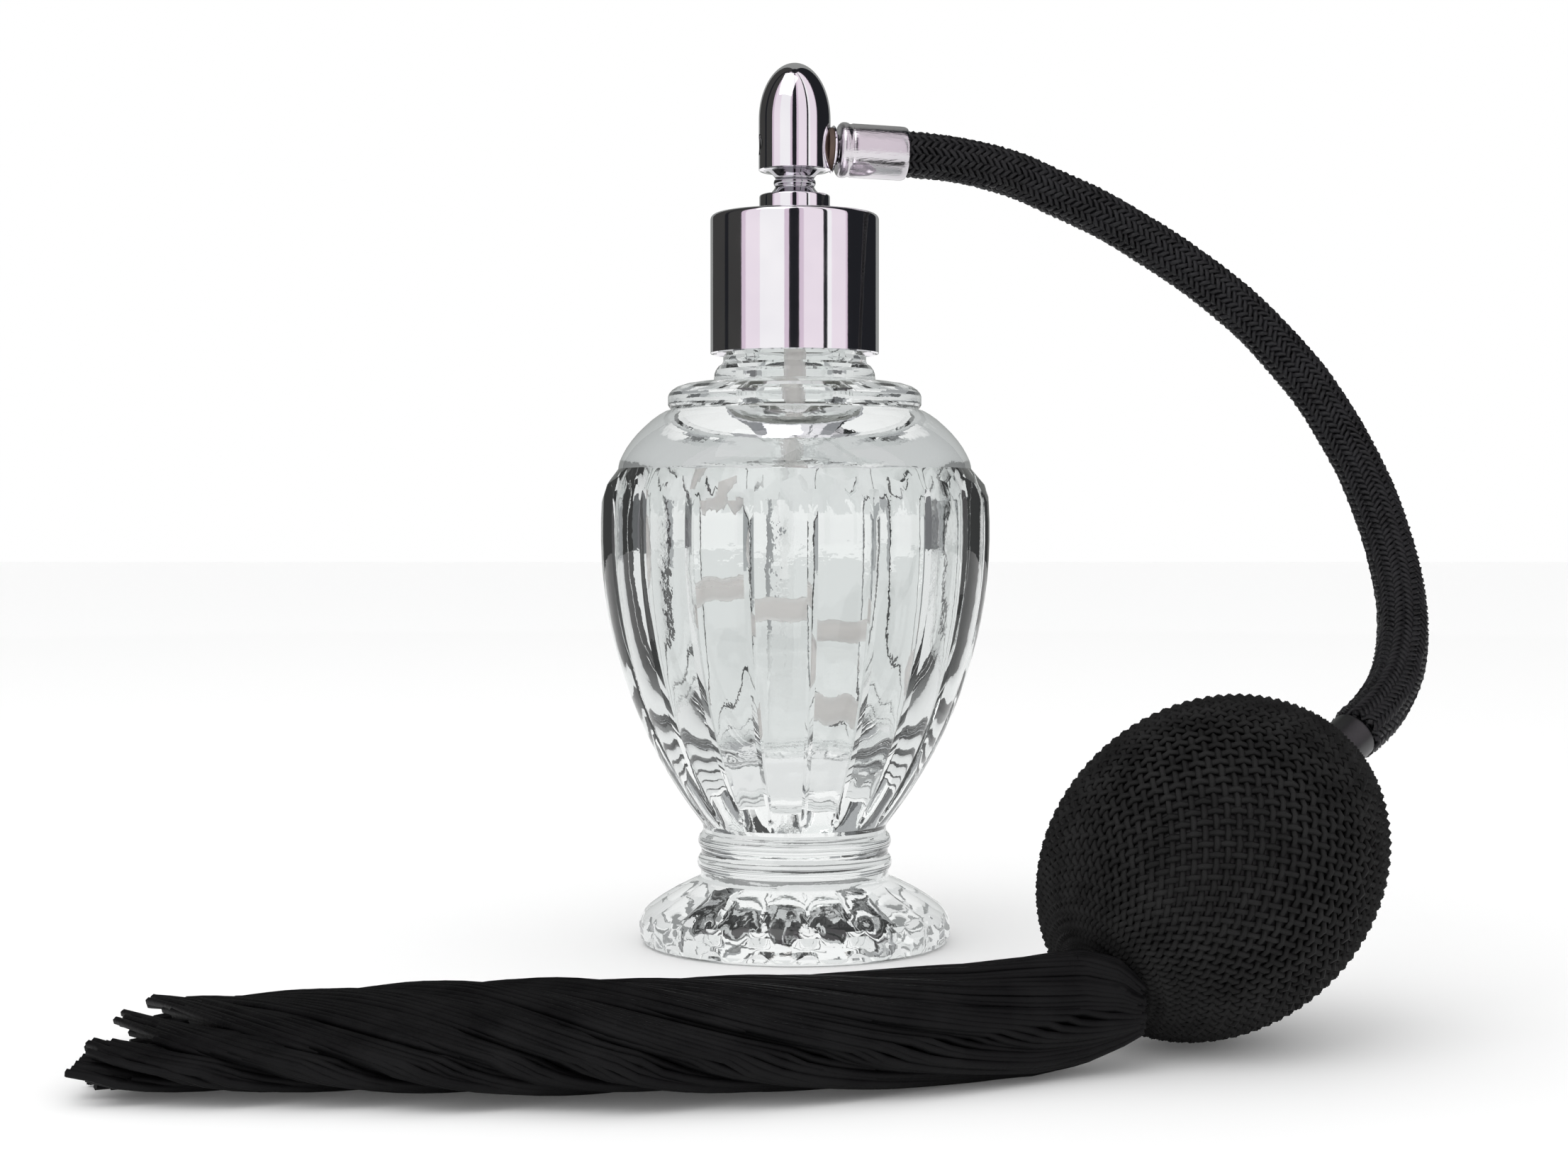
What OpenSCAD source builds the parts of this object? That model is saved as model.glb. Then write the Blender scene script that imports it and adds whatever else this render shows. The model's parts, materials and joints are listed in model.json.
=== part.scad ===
// Perfume bottle with a bulb atomizer.
// Millimetres, +Z up. The origin is the centre of the foot's underside.
// The spray head points to -X, the hose leaves to +X, and the bulb and tassel lie in front (-Y).

/* [Bottle] */
// Largest radius of the ribbed body
body_r = 24.3; // [23.8:0.1:24.8]
// Height of the largest radius above the table
belly_z = 51.3; // [51:0.1:51.6]
// Radius of the arc that the ribbed side follows
side_arc = 58.5; // [57:0.5:60]
// Thickness of the side wall
wall = 3.4; // [2.8:0.1:3.8]
// Number of upright ribs
ribs = 20; // [16:1:24]
// Depth of the grooves between the ribs
rib_depth = 0.7; // [0.3:0.1:0.9]
// Radius of the foot
foot_r = 19.45; // [19:0.05:20]
// Radius of the flange under the collar
flange_r = 15.8; // [15:0.1:16.2]

/* [Neck and collar] */
// Radius of the neck between the threads
neck_r = 7.8; // [7.6:0.1:7.9]
// Radius of the mouth
mouth_r = 4.9; // [4.8:0.1:5.2]
// Height of the glass rim
rim_z = 87.4; // [87:0.1:87.4]
// Radius over the screw thread's crests
thread_r = 8.85; // [8.6:0.05:8.85]
// Rise of the thread in one turn
pitch = 3.175; // [3:0.025:3.3]
// Outer radius of the collar
collar_r = 10.5; // [10.4:0.1:11]
// Height of the collar's lower edge
collar_z = 73.4; // [73.2:0.1:73.6]
// Height of the collar's top
collar_top = 90.75; // [90.7:0.05:90.8]

/* [Spray head] */
// Radius of the head
head_r = 4.47; // [4.4:0.01:4.6]
// Height of the head's lower edge
head_z = 96.2; // [96:0.1:96.4]
// Height of the head's tip
tip_z = 109.6; // [109:0.1:110]
// Height of the spray axis
spray_z = 99.2; // [99:0.1:99.4]
// How far the side fitting is turned towards the back
spray_turn = 10; // [0:1:14]
// Outer radius of the crimped ferrule
ferrule_r = 3.35; // [3.3:0.05:3.5]

/* [Hose] */
// Outer radius of the braided sleeve
hose_r = 2.95; // [2.9:0.05:2.95]
// Radius of the rubber hose inside the sleeve
hose_core_r = 2.25; // [2.1:0.05:2.25]
// Radius of the hose's bore
hose_bore_r = 1.45; // [1.4:0.05:1.6]

/* [Bulb and tassel] */
// Half the length of the netted bulb
bulb_half = 20.3; // [20:0.1:20.4]
// Radius of the netted bulb
bulb_r = 16.6; // [16.4:0.1:16.7]
// Thickness of the knitted net
net_t = 0.8; // [0.6:0.1:1]
// Thickness of the rubber
rubber_t = 1.4; // [1.2:0.1:1.8]
// Radius of the tassel's bound head
cap_r = 4.2; // [4:0.1:4.5]

/* [Hidden] */

$fn = 64;
gap = 0.05;                   // running clearance, on the radius
side_x = body_r - side_arc;   // centre of the side arc, from the axis
valley_turn = -85.2;          // first groove between two ribs
foot_groove_r = 11.75;
thread_turns = 1.5;
thread_z = 79.2;              // height where the thread starts
spindle_r = 1.8;
dome_c = [13.5, 58.1];        // centre of the shoulder's arc
dome_r = 8.6;

// Where the bulb lies: its centre, then the turn of its long axis from +Z.
bulb_c = [42.3, -58.7, 17.6];
bulb_tilt = 61;
bulb_turn = 38;
valve_r = 1.3;                // radius of the two valves' bores
ball_r = 0.9;
seat_z = 21.6;                // outlet valve's seat, along the bulb's axis
inlet_z = -17.5;              // inlet valve's seat, along the bulb's axis

// The tassel hangs from a knot; its head lies to the left of it.
knot_c = bulb_c + axis_dir(bulb_tilt, bulb_turn) * -24;
tassel_turn = 182;            // direction in which the tassel lies

// Centreline of the hose, from inside the ferrule to the bulb.
hose_route = [
  [6, 1, 99], [14, 2.5, 98.7], [21, 3.5, 98], [27.5, 4.5, 96.5], [33, 5, 94.2], [38.8, 5, 91.5],
  [44, 4.8, 88.4], [49, 4, 85], [53.4, 3, 81.5], [57.5, 1.4, 77.6], [61, -0.6, 73.3], [64, -3, 69],
  [66.5, -6, 64], [68.4, -9.2, 59.2], [69.6, -13.2, 54.2], [70.2, -17.6, 49.2], [70, -23, 44.2],
  [68.8, -29, 39.4], [66.5, -35, 35], [63, -41, 31.8]
];

// Centreline of the dip tube, from its socket to the bottom of the bottle.
dip_route = [
  [0, 0, 82.5], [0, 0, 77], [0, 0, 70], [-0.6, 0, 65], [-3, 0.3, 61], [-7.5, 0.8, 57.5],
  [-11.8, 1.3, 53.5], [-14, 1.7, 49.5], [-12.5, 1.9, 45.8], [-8.2, 1.9, 43.5], [-3, 1.7, 42],
  [3, 1.2, 40], [8, 0.6, 37.8], [10.6, 0, 34.9], [9.6, -0.6, 31.5], [6.6, -1, 28.7], [3.8, -0.8, 25.8],
  [2, -0.4, 22.8]
];

// ---- helpers ----

function axis_dir(tilt, turn) = [sin(tilt) * cos(turn), sin(tilt) * sin(turn), cos(tilt)];
function unit(v) = v / norm(v);
function arc(c, r, from, to, n) = [
  for (i = [0:n]) let (a = from + (to - from) * i / n) [c[0] + r * cos(a), c[1] + r * sin(a)]
];
function side_r(z, inset) = side_x + sqrt(pow(side_arc - inset, 2) - pow(z - belly_z, 2));
function egg_r(z, half, r) = r * sqrt(max(0, 1 - pow(z / half, 2)));

// A smooth curve through the route's points, n samples to a step.
function ends(p) = concat([2 * p[0] - p[1]], p, [2 * p[len(p) - 1] - p[len(p) - 2]]);
function curve_at(a, b, c, d, t) =
  0.5 * (2 * b + (c - a) * t + (2 * a - 5 * b + 4 * c - d) * t * t
  + (3 * b - a - 3 * c + d) * t * t * t);
function curve(p, n) = let (q = ends(p)) [
  for (i = [1:len(q) - 3], k = [0:(i == len(q) - 3 ? n : n - 1)])
    curve_at(q[i - 1], q[i], q[i + 1], q[i + 2], k / n)
];

// One ring of points round p[i], square to the curve.
function ring(p, i, r, sides) =
  let (
    t = unit(p[min(i + 1, len(p) - 1)] - p[max(i - 1, 0)]),
    u = unit(cross(t, [0, 1, 0])),
    v = cross(t, u)
  )
  [for (k = [0:sides - 1]) p[i] + r * (cos(360 * k / sides) * u + sin(360 * k / sides) * v)];

// A tube along the points p, open right through.
module swept_tube(p, r_out, r_in, sides) {
  n = len(p);
  inner = n * sides;
  points = concat(
    [for (i = [0:n - 1]) each ring(p, i, r_out, sides)],
    [for (i = [0:n - 1]) each ring(p, i, r_in, sides)]
  );
  faces = [
    for (k = [0:sides - 1]) let (m = (k + 1) % sides) each concat(
      [for (i = [0:n - 2]) each [
        [i * sides + k, (i + 1) * sides + m, (i + 1) * sides + k],
        [i * sides + k, i * sides + m, (i + 1) * sides + m],
        [inner + i * sides + k, inner + (i + 1) * sides + k, inner + (i + 1) * sides + m],
        [inner + i * sides + k, inner + (i + 1) * sides + m, inner + i * sides + m]
      ]],
      [
        [k, inner + k, inner + m], [k, inner + m, m],
        [(n - 1) * sides + k, inner + (n - 1) * sides + m, inner + (n - 1) * sides + k],
        [(n - 1) * sides + k, (n - 1) * sides + m, inner + (n - 1) * sides + m]
      ]
    )
  ];
  polyhedron(points, faces);
}

// A helical ridge from root radius a to crest radius b, starting at height z.
module ridge(a, b, z, root_w, crest_w) {
  steps = 24 * thread_turns;
  points = [
    for (i = [0:steps]) let (t = 360 * i / 24, h = z + pitch * i / 24)
      each [
        [a * cos(t), a * sin(t), h - root_w / 2], [b * cos(t), b * sin(t), h - crest_w / 2],
        [b * cos(t), b * sin(t), h + crest_w / 2], [a * cos(t), a * sin(t), h + root_w / 2]
      ]
  ];
  e = 4 * steps;
  faces = concat(
    [[0, 1, 2], [0, 2, 3], [e, e + 2, e + 1], [e, e + 3, e + 2]],
    [
      for (i = [0:steps - 1], k = [0:3])
        let (m = (k + 1) % 4)
        each [[4 * i + k, 4 * i + 4 + k, 4 * i + 4 + m], [4 * i + k, 4 * i + 4 + m, 4 * i + m]]
    ]
  );
  polyhedron(points, a > b ? faces : [for (f = faces) [f[0], f[2], f[1]]]);
}

module at_spigot() translate([0, 0, spray_z]) rotate([0, 92, spray_turn]) children();
module at_bulb() translate(bulb_c) rotate([0, bulb_tilt, bulb_turn]) children();
module at_tassel() translate(knot_c) rotate([0, 90, tassel_turn]) children();
module ring_solid(r_out, r_in, z0, z1) {
  rotate_extrude() polygon([[r_in, z0], [r_out, z0], [r_out, z1], [r_in, z1]]);
}

// ---- bottle ----

module bottle_outside() {
  rotate_extrude() polygon(concat(
    [[0, 1.6], [9, 1.2], [13.5, 0], [18.8, 0], [foot_r, 0.7], [foot_r, 2.9]],
    [[19.1, 3.7], [18.4, 4.4], [12.8, 7.7], [foot_groove_r, 8.5]],
    arc([10.9, 10.1], 1.3, -50, 50, 5),
    arc([10.8, 12.75], 1.3, -45, 45, 5),
    [[11.4, 14.1]],
    [for (z = [15:4.5:55.5]) [side_r(z, 0), z]],
    [[23.65, 57.1], [22.2, 58.7]],
    arc(dome_c, dome_r, 8, 68, 7),
    [[15.4, 66.5], [flange_r, 66.8], [flange_r, 68.3], [14.8, 69.4], [12.3, 69.9]],
    [[10, 70], [10, 71], [9.6, 71.9], [8.9, 72.3], [8.9, 73], [neck_r, 73.9]],
    [[neck_r, rim_z - 0.5], [neck_r - 0.4, rim_z], [0, rim_z]]
  ));
}

module bottle_inside() {
  rotate_extrude() polygon(concat(
    [[0, 19.4], [2, 19.7], [4.2, 20.5], [6.6, 21.8], [9.2, 23.6], [11.7, 25.7], [13.9, 28]],
    [[15.7, 30.5], [17.2, 33], [18.4, 35.5]],
    [for (z = [38.5:3.75:53.5]) [side_r(z, wall), z]],
    arc(dome_c, dome_r - wall, 0, 75, 6),
    [[9, 64.2], [6, 65.4], [mouth_r, 66.6], [mouth_r, rim_z + 1], [0, rim_z + 1]]
  ));
}

// The grooves follow the side arc, so that every rib has the same height.
module rib_groove() {
  translate([side_x, 0, belly_z]) rotate([90, 38, 0]) rotate_extrude(angle = 44)
    polygon([[side_arc - rib_depth, 0], [side_arc + 0.6, 1.8], [side_arc + 0.6, -1.8]]);
}

module bottle() {
  color([0.86, 0.9, 0.9, 0.4]) difference() {
    union() {
      bottle_outside();
      ridge(neck_r - 0.4, thread_r, thread_z, 1.5, 0.8);
    }
    bottle_inside();
    for (i = [0:ribs - 1]) rotate([0, 0, valley_turn + 360 * i / ribs]) rib_groove();
  }
}

// ---- collar ----

module collar_shell() {
  color([0.86, 0.84, 0.88]) rotate_extrude() polygon([
    [collar_r - 0.5, collar_z], [collar_r, collar_z], [collar_r, collar_top - 0.7],
    [collar_r - 0.2, collar_top - 0.2], [collar_r - 0.7, collar_top], [3.9, collar_top],
    [3.9, collar_top - 0.5], [collar_r - 0.5, collar_top - 0.5]
  ]);
}

module collar_liner() {
  liner_bore = thread_r + 0.25;
  color([0.93, 0.92, 0.88]) union() {
    rotate_extrude() polygon([
      [liner_bore, collar_z + 0.6], [collar_r - 0.5, collar_z + 0.6],
      [collar_r - 0.5, collar_top - 0.5], [3.9, collar_top - 0.5], [3.9, rim_z + 2.15],
      [liner_bore, rim_z + 2.15]
    ]);
    ridge(liner_bore + 0.3, neck_r + 0.35, thread_z - pitch / 2, 1.3, 0.7);
  }
}

module neck_gasket() color([0.75, 0.75, 0.72]) ring_solid(7.6, 5.2, rim_z, rim_z + 1);

// ---- atomizer base: plug, flange, dip tube socket and spindle ----

module atomizer_base() {
  color([0.95, 0.94, 0.9]) difference() {
    rotate_extrude() polygon([
      [0, 76], [2.9, 76], [2.9, 82], [4.6, 82.6], [4.6, rim_z + 1], [8.6, rim_z + 1],
      [8.6, rim_z + 2], [3.6, rim_z + 2], [3.6, collar_top + 0.1], [spindle_r, collar_top + 0.1],
      [spindle_r, 94.4], [1.35, 94.4], [1.35, 95], [spindle_r, 95], [spindle_r, 96.8], [0, 96.8]
    ]);
    translate([0, 0, 75]) cylinder(r = 1.45, h = 8);
    translate([0, 0, 80]) cylinder(r = 0.65, h = 20);
  }
}

module dip_tube() color([0.85, 0.87, 0.85, 0.7]) swept_tube(curve(dip_route, 2), 1.4, 0.9, 10);

module swivel_o_ring() {
  color([0.1, 0.1, 0.1]) translate([0, 0, 94.7]) rotate_extrude() translate([1.59, 0])
    circle(r = 0.22, $fn = 24);
}

// ---- spray head ----

module stem_disc() {
  color([0.86, 0.84, 0.88]) rotate_extrude() polygon([
    [spindle_r + gap, collar_top + 0.1], [4.2, collar_top + 0.1], [4.4, collar_top + 0.3],
    [4.4, 93], [4.2, 93.2], [spindle_r + gap, 93.2]
  ]);
}

module waist_stem() {
  color([0.86, 0.84, 0.88]) rotate_extrude() polygon([
    [spindle_r + gap, 93.2], [3.3, 93.2], [2.75, 93.6], [2.4, 94.1], [2.6, 94.5], [2.6, 94.9],
    [2.35, 95.3], [2.6, 95.7], [3.2, head_z], [3.85, head_z], [3.85, head_z + 0.9],
    [spindle_r + gap, head_z + 0.9]
  ]);
}

function ogive(inset) = [
  for (i = [0:9]) let (a = 9 * i)
    [(head_r - inset) * cos(a), 102.6 + (tip_z - 102.6 - inset) * sin(a)]
];

module head_shell() {
  color([0.86, 0.84, 0.88]) difference() {
    rotate_extrude() polygon(concat(
      [[3.85, head_z], [head_r, head_z]], ogive(0), [[0, tip_z], [0, tip_z - 0.6]],
      [for (i = [9:-1:0]) ogive(0.6)[i]], [[3.87, head_z]]
    ));
    at_spigot() cylinder(r = 1.9, h = 8);
    at_spigot() translate([0, 0, -8]) cylinder(r = 1.3, h = 8);
  }
}

module head_core() {
  color([0.9, 0.9, 0.88]) difference() {
    translate([0, 0, head_z + 0.9]) cylinder(r = 3.75, h = 6.5);
    at_spigot() translate([0, 0, -5]) cylinder(r = 0.6, h = 10);
    at_spigot() translate([0, 0, 2.2]) cylinder(r = 1.5, h = 4);
    at_spigot() translate([0, 0, -6]) cylinder(r = 1.25, h = 3);
    translate([0, 0, head_z]) cylinder(r = 0.5, h = 3);
  }
}

module nozzle_insert() {
  color([0.8, 0.78, 0.8]) at_spigot() mirror([0, 0, 1]) ring_solid(1.2, 0.25, 3, head_r + 0.1);
}

module jet_tube() color([0.8, 0.8, 0.82]) ring_solid(0.45, 0.25, 91.5, spray_z - 0.2);

module spigot() {
  color([0.86, 0.84, 0.88]) at_spigot() rotate_extrude() polygon([
    [0.7, 2.2], [1.5, 2.2], [1.5, 4.6], [2.9, 4.6], [2.9, 4.95], [1.9, 5.1], [1.6, 5.4], [1.8, 5.6],
    [1.8, 5.8], [1.15, 5.8], [1.15, 12.2], [0.95, 12.6], [0.7, 12.6]
  ]);
}

module spigot_washer() {
  color([0.6, 0.35, 0.2]) at_spigot() difference() {
    ring_solid(2.7, 1.55, 4, 4.6);
    at_head_in_spigot() cylinder(r = head_r + 0.02, h = 20, center = true);
  }
}

// Turns the spigot's frame back to the upright axis of the head.
module at_head_in_spigot() rotate([0, -92, 0]) children();

module hose_ferrule() {
  color([0.86, 0.84, 0.88]) at_spigot() rotate_extrude() polygon([
    [1.85, 5.4], [2.7, 5.4], [3.15, 5.6], [ferrule_r, 6], [ferrule_r, 6.6], [3.25, 6.8], [3.25, 7],
    [ferrule_r, 7.2], [ferrule_r, 13.9], [3.25, 14.1], [3.05, 14.1], [3.05, 5.8], [1.85, 5.8]
  ]);
}

// ---- hose ----

hose_path = curve(concat(hose_route, [bulb_c + axis_dir(bulb_tilt, bulb_turn) * 24]), 2);
module hose_rubber() {
  color([0.12, 0.12, 0.12]) swept_tube(hose_path, hose_core_r, hose_bore_r, 12);
}
module hose_braid() {
  color([0.08, 0.08, 0.08]) swept_tube(hose_path, hose_r, hose_core_r + gap, 12);
}

// ---- bulb, its connector and its valves, along the bulb's axis ----

module bulb_ferrule() color([0.5, 0.52, 0.54]) at_bulb() ring_solid(2.5, 2.1, 20.4, 23.9);

module bulb_stem() {
  color([0.7, 0.7, 0.68]) at_bulb() rotate_extrude() polygon([
    [0.8, 15.5], [2, 15.5], [2.05, 16], [2.05, 23.9], [1.1, 23.9], [1.1, 26.5], [0.6, 26.5],
    [0.6, 24], [valve_r, 23.4], [valve_r, seat_z + 0.5], [0.8, seat_z - 0.2]
  ]);
}

module outlet_valve_ball() {
  color([0.9, 0.9, 0.9]) at_bulb() translate([0, 0, seat_z + 0.75]) sphere(r = ball_r);
}

// The egg is cut open at both ends for the connector and the inlet valve.
module egg_shell(half, r, t, hole) {
  zo = half * sqrt(1 - pow(hole / r, 2));
  zi = (half - t) * sqrt(1 - pow(hole / (r - t), 2));
  rotate_extrude() polygon(concat(
    [for (i = [0:20]) let (z = -zo + 2 * zo * (1 - cos(9 * i)) / 2) [egg_r(z, half, r), z]],
    [for (i = [20:-1:0])
      let (z = -zi + 2 * zi * (1 - cos(9 * i)) / 2) [egg_r(z, half - t, r - t), z]]
  ));
}

module bulb_rubber() {
  rubber_half = bulb_half - net_t - 0.1;
  rubber_r = bulb_r - net_t - 0.1;
  color([0.1, 0.1, 0.1]) at_bulb() egg_shell(rubber_half, rubber_r, rubber_t, 2.65);
}

module bulb_net() color([0.07, 0.07, 0.07]) at_bulb() egg_shell(bulb_half, bulb_r, net_t, 2.7);

module inlet_valve_body() {
  color([0.6, 0.61, 0.62]) difference() {
    union() {
      at_bulb() rotate_extrude() polygon([
        [0, -22.8], [1.5, -22.8], [1.5, -21.6], [3.4, -21.6], [3.4, -20.8], [2.4, -20.8],
        [2.4, -16.3], [0, -16.3]
      ]);
      translate(knot_c) sphere(r = 2.7);
    }
    at_bulb() rotate_extrude() polygon([
      [0, -23.6], [0.6, -23.6], [0.6, inlet_z - 1.2], [valve_r, inlet_z - 0.5], [valve_r, -15],
      [0, -15]
    ]);
    translate(knot_c) sphere(r = 1.68);
    translate(knot_c) rotate([0, 78, tassel_turn + 5]) translate([0, 0, 0.85]) cylinder(r = 4, h = 4);
  }
}

module inlet_valve_cage() {
  color([0.9, 0.9, 0.88]) at_bulb() difference() {
    ring_solid(2.4, 0, -16.3, -15.5);
    for (k = [0:3]) rotate([0, 0, 90 * k]) translate([1.1, 0, -17]) cylinder(r = 0.4, h = 2, $fn = 24);
  }
}

module inlet_valve_ball() {
  color([0.9, 0.9, 0.9]) at_bulb() translate([0, 0, inlet_z + 0.15 - 0.4]) sphere(r = ball_r);
}

// ---- tassel ----

module tassel_knot() color([0.07, 0.07, 0.07]) translate(knot_c) sphere(r = 1.5);

module tassel_cord() {
  color([0.07, 0.07, 0.07]) at_tassel() translate([0, 0, 1.6]) cylinder(r = 0.4, h = 1.6);
}

module tassel_cap() {
  color([0.07, 0.07, 0.07]) at_tassel() rotate_extrude() polygon([
    [0, 3.2], [1.4, 3.2], [3.2, 4], [cap_r - 0.2, 5.2], [cap_r, 6.4], [cap_r - 0.4, 7.6],
    [cap_r - 0.4, 8.2], [0, 8.2]
  ]);
}

// One slice of the tassel: a low arch of strands that lies flat on the table.
module slice(s) {
  translate([s[0], s[1], 0]) rotate([90, 0, 90]) linear_extrude(1)
    polygon([for (a = [0:15:180]) [s[2] * cos(a), s[3] * sin(a)]]);
}

// Each step of the skirt joins two slices, given as x, y, half width and height.
tassel_slices = [
  [16.4, -71.8, 4.6, 9.6], [8, -74, 12, 9.2], [-17, -78, 15, 9.2], [-42, -75, 14.5, 7],
  [-65, -69, 20, 4.6]
];

module tassel_skirt() {
  color([0.07, 0.07, 0.07]) for (i = [0:len(tassel_slices) - 2]) hull() {
    slice(tassel_slices[i]);
    slice(tassel_slices[i + 1]);
  }
}

bottle();
collar_shell();
collar_liner();
neck_gasket();
atomizer_base();
dip_tube();
swivel_o_ring();
stem_disc();
waist_stem();
head_shell();
head_core();
nozzle_insert();
jet_tube();
spigot();
spigot_washer();
hose_ferrule();
hose_rubber();
hose_braid();
bulb_ferrule();
bulb_stem();
outlet_valve_ball();
bulb_rubber();
bulb_net();
inlet_valve_body();
inlet_valve_cage();
inlet_valve_ball();
tassel_knot();
tassel_cord();
tassel_cap();
tassel_skirt();
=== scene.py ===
import json
import math
import random

import bpy
from mathutils import Matrix, Vector


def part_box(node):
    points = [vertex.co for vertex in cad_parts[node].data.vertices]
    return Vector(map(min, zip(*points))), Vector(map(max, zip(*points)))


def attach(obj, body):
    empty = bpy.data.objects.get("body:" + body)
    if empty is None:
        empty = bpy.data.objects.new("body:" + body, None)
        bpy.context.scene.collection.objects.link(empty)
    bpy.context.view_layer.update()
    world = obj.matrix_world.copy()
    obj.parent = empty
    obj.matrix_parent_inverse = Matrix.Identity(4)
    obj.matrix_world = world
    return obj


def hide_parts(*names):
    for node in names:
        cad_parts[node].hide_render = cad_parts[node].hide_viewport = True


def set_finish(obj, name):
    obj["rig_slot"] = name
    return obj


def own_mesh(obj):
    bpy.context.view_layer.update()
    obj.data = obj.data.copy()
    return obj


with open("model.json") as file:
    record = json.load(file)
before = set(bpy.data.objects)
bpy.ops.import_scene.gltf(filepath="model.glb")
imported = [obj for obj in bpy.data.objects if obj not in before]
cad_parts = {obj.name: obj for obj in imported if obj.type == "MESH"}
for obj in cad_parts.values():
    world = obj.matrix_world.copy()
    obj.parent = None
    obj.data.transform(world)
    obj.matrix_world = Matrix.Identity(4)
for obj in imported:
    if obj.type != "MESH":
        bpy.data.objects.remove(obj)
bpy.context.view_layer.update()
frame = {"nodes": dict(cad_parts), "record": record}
mm = 0.001
print("frame loaded:", len(frame["nodes"]), "nodes")


def boxMiddle(node):
    low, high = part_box(node)
    return (low + high) / 2


# ---- small helpers, each one a thing done by hand in the viewport ----

def deselectAll():
    if bpy.context.mode != "OBJECT":
        bpy.ops.object.mode_set(mode="OBJECT")
    bpy.ops.object.select_all(action="DESELECT")


def makeActive(piece):
    deselectAll()
    piece.select_set(True)
    bpy.context.view_layer.objects.active = piece


def drawOutline(name, points):
    # one vertex, pulled through the outline's points (radius, height in mm)
    deselectAll()
    bpy.ops.mesh.primitive_plane_add(size=mm, location=(0, 0, 0))
    piece = bpy.context.active_object
    piece.name = name
    bpy.ops.object.mode_set(mode="EDIT")
    bpy.ops.mesh.select_mode(type="VERT")
    bpy.ops.mesh.merge(type="CENTER")
    here = Vector((points[0][0], 0, points[0][1])) * mm
    bpy.ops.transform.translate(value=here)
    for r, z in points[1:]:
        there = Vector((r, 0, z)) * mm
        bpy.ops.mesh.extrude_region_move(TRANSFORM_OT_translate={"value": there - here})
        here = there
    return piece


def lathe(name, points, steps=96, place=None):
    piece = drawOutline(name, points)
    bpy.ops.mesh.select_all(action="SELECT")
    bpy.ops.mesh.spin(steps=steps, angle=2 * math.pi, center=(0, 0, 0), axis=(0, 0, 1))
    bpy.ops.mesh.select_all(action="SELECT")
    bpy.ops.mesh.remove_doubles(threshold=0.0000005)
    bpy.ops.mesh.normals_make_consistent(inside=False)
    bpy.ops.object.mode_set(mode="OBJECT")
    settle(piece, place)
    return piece


def settle(piece, place=None):
    # puts the piece in its place and works that place into its mesh
    makeActive(piece)
    if place is not None:
        piece.matrix_world = place
    bpy.ops.object.transform_apply(location=True, rotation=True, scale=True)


def smooth(piece, angle=40):
    makeActive(piece)
    bpy.ops.object.shade_smooth_by_angle(angle=math.radians(angle))


def finishPiece(piece, body, node, slot, angle=40):
    # shading, the body it moves with, the node it stands for and its material slot
    smooth(piece, angle)
    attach(piece, body)
    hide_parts(node)
    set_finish(piece, slot)
    return piece


def pick(piece, test):
    # selects the points that pass the test and goes to edit mode
    makeActive(piece)
    bpy.ops.object.mode_set(mode="EDIT")
    bpy.ops.mesh.select_mode(type="VERT")
    bpy.ops.mesh.select_all(action="DESELECT")
    bpy.ops.object.mode_set(mode="OBJECT")
    for v in piece.data.vertices:
        v.select = test(v.co)
    bpy.ops.object.mode_set(mode="EDIT")


def addModifier(piece, kind, **values):
    makeActive(piece)
    bpy.ops.object.modifier_add(type=kind)
    modifier = piece.modifiers[-1]
    for key, value in values.items():
        setattr(modifier, key, value)
    bpy.ops.object.modifier_apply(modifier=modifier.name)


def roundStrands(name, strands, radius, sides=0):
    # a bundle of thin cords, each one a list of points in metres
    curve = bpy.data.curves.new(name, "CURVE")
    curve.dimensions = "3D"
    curve.bevel_depth = radius
    curve.bevel_resolution = sides
    curve.use_fill_caps = True
    for points in strands:
        spline = curve.splines.new("POLY")
        spline.points.add(len(points) - 1)
        for point, place in zip(spline.points, points):
            point.co = (*place, 1)
        spline.use_smooth = True
    piece = bpy.data.objects.new(name, curve)
    bpy.context.scene.collection.objects.link(piece)
    makeActive(piece)
    bpy.ops.object.convert(target="MESH")
    piece = bpy.context.active_object
    bpy.ops.object.shade_smooth()
    return piece


def arc(centre, radius, start, end, count):
    turns = [math.radians(start + (end - start) * i / count) for i in range(count + 1)]
    return [(centre[0] + radius * math.cos(a), centre[1] + radius * math.sin(a)) for a in turns]


def smoothRoute(points, perStep):
    # a curve through all the points; ends are carried straight on
    p = [Vector(q) * mm for q in points]
    p = [2 * p[0] - p[1]] + p + [2 * p[-1] - p[-2]]
    made = []
    for i in range(1, len(p) - 2):
        a, b, c, d = p[i - 1:i + 3]
        for k in range(perStep):
            t = k / perStep
            made.append(0.5 * (2 * b + (c - a) * t + (2 * a - 5 * b + 4 * c - d) * t * t
                               + (3 * b - a - 3 * c + d) * t * t * t))
    return made + [p[-2]]


def routeLength(points):
    return sum((b - a).length for a, b in zip(points, points[1:]))


def evenRoute(points, step):
    # the same route with points one step apart, and a frame at each of them
    total = routeLength(points)
    count = round(total / step)
    made, walked, i = [], 0, 0
    for k in range(count + 1):
        want = min(total * k / count, total * 0.9999999)
        while walked + (points[i + 1] - points[i]).length < want:
            walked += (points[i + 1] - points[i]).length
            i += 1
        part = (want - walked) / (points[i + 1] - points[i]).length
        made.append(points[i].lerp(points[i + 1], part))
    frames, side = [], None
    for k, here in enumerate(made):
        ahead = (made[min(k + 1, count)] - made[max(k - 1, 0)]).normalized()
        if side is None:
            side = ahead.cross(Vector((0, 1, 0))).normalized()
        side = (side - ahead * side.dot(ahead)).normalized()
        frames.append((here, side, ahead.cross(side)))
    return frames


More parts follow.
